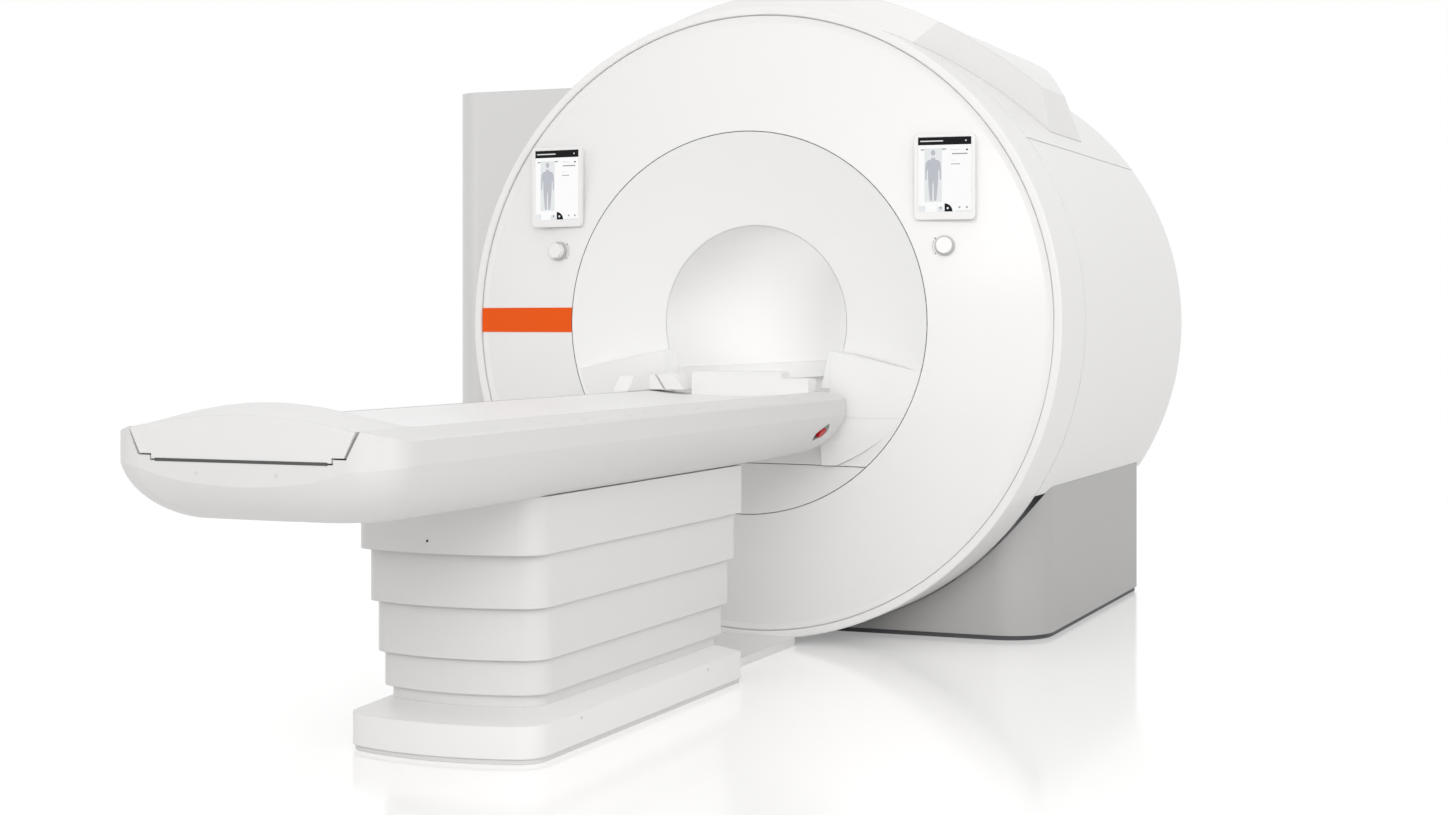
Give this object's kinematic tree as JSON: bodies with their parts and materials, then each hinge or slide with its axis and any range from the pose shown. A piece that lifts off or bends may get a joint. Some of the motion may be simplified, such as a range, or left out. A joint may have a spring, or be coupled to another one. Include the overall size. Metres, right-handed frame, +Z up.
{
  "type": "mri scanner",
  "caption": "Round-fronted magnetic resonance scanner with a tunnel bore, two wall displays and a sliding patient table on a telescoping lift.",
  "frame": {"origin": "on the floor under the bore axis, in the plane of the front rim", "axes": "+Z up; +Y along the bore axis, from the patient table into the bore; +X to the right of someone facing the bore"},
  "size_m": [2.329, 4.528, 2.0548],
  "materials": {
    "cover_white": "smooth satin moulding",
    "cover_grey": "satin",
    "plinth_dark": "matt",
    "stripe_orange": "satin film",
    "screen": "lit screen under clear glass",
    "bezel_grey": "satin",
    "stop_red": "gloss",
    "slide_plastic": "low-friction plastic",
    "vessel_steel": "brushed",
    "frame_steel": "powder coat",
    "frame_aluminium": "extruded",
    "winding": "copper and resin",
    "coil_resin": "cast resin"
  },
  "bodies": {
    "gantry_and_base": {"accent_stripe": "stripe_orange", "base_cover": "cover_white", "base_plate": "frame_steel", "bed_ledges": "cover_white", "body_coil": "coil_resin", "bore_liner": "cover_white", "bore_rails": "slide_plastic", "column_plinth": "plinth_dark", "cover_frame_front": "frame_aluminium", "cover_frame_rear": "frame_aluminium", "display_housing_left": "cover_white", "display_housing_right": "cover_white", "display_screen_left": "screen", "display_screen_right": "screen", "floor_link": "cover_white", "front_cover": "cover_white", "front_funnel": "cover_white", "front_rim": "cover_white", "gradient_coil": "coil_resin", "knob_base_left": "cover_white", "knob_base_right": "cover_white", "lift_stage_1": "frame_aluminium", "lower_panel": "cover_white", "magnet_stand": "frame_steel", "magnet_windings": "winding", "pedestal_left": "cover_grey", "pedestal_right": "cover_grey", "plinth": "plinth_dark", "rear_cover": "cover_white", "rear_funnel": "cover_white", "service_column": "cover_grey", "side_cover_left": "cover_white", "side_cover_right": "cover_white", "table_surround": "cover_white", "tier_4_cover": "cover_white", "top_cover": "cover_white", "top_fairing": "cover_white", "vessel_bore_tube": "vessel_steel", "vessel_end_front": "vessel_steel", "vessel_end_rear": "vessel_steel", "vessel_shell": "vessel_steel"},
    "tabletop": {"tabletop": "cover_white", "tabletop_end_cap": "cover_white", "head_block": "cover_white"},
    "carriage": {"table_body": "cover_white", "table_beam": "frame_aluminium", "tier_1_cover": "cover_white", "lift_stage_4": "frame_aluminium", "slide_strips": "slide_plastic", "coil_socket_cover": "cover_white", "stop_bezel_left": "bezel_grey", "stop_bezel_right": "bezel_grey"},
    "upper_tier": {"tier_2_cover": "cover_white", "lift_stage_3": "frame_aluminium"},
    "lower_tier": {"tier_3_cover": "cover_white", "lift_stage_2": "frame_aluminium"},
    "knob_left": {"knob_left": "cover_white"},
    "knob_right": {"knob_right": "cover_white"},
    "stop_button_left": {"stop_button_left": "stop_red"},
    "stop_button_right": {"stop_button_right": "stop_red"}
  },
  "joints": [
    {"name": "table_lift", "type": "slide", "parent": "gantry_and_base", "child": "carriage", "axis": [0, 0, 1], "range_m": [-0.28, 0]},
    {"name": "upper_tier_lift", "type": "slide", "parent": "gantry_and_base", "child": "upper_tier", "axis": [0, 0, 1], "range_m": [-0.1867, 0]},
    {"name": "lower_tier_lift", "type": "slide", "parent": "gantry_and_base", "child": "lower_tier", "axis": [0, 0, 1], "range_m": [-0.0934, 0]},
    {"name": "tabletop_slide", "type": "slide", "parent": "carriage", "child": "tabletop", "axis": [0, 1, 0], "range_m": [0, 1.75]},
    {"name": "knob_left_turn", "type": "hinge", "parent": "gantry_and_base", "child": "knob_left", "pos_m": [-0.6354, -0.06071, 1.2115], "axis": [-0.1682, -0.9839, 0.06], "continuous": true},
    {"name": "knob_right_turn", "type": "hinge", "parent": "gantry_and_base", "child": "knob_right", "pos_m": [0.6354, -0.06071, 1.2115], "axis": [0.1682, -0.9839, 0.06], "continuous": true},
    {"name": "stop_left_push", "type": "slide", "parent": "carriage", "child": "stop_button_left", "axis": [0.8727, 0, 0.4882], "range_m": [0, 0.005], "stiffness_N_per_m": 2000},
    {"name": "stop_right_push", "type": "slide", "parent": "carriage", "child": "stop_button_right", "axis": [-0.8727, 0, 0.4882], "range_m": [0, 0.005], "stiffness_N_per_m": 2000}
  ],
  "couplings": [
    {"joint": "upper_tier_lift", "follows": "table_lift", "ratio": 0.66667},
    {"joint": "lower_tier_lift", "follows": "table_lift", "ratio": 0.33333}
  ]
}
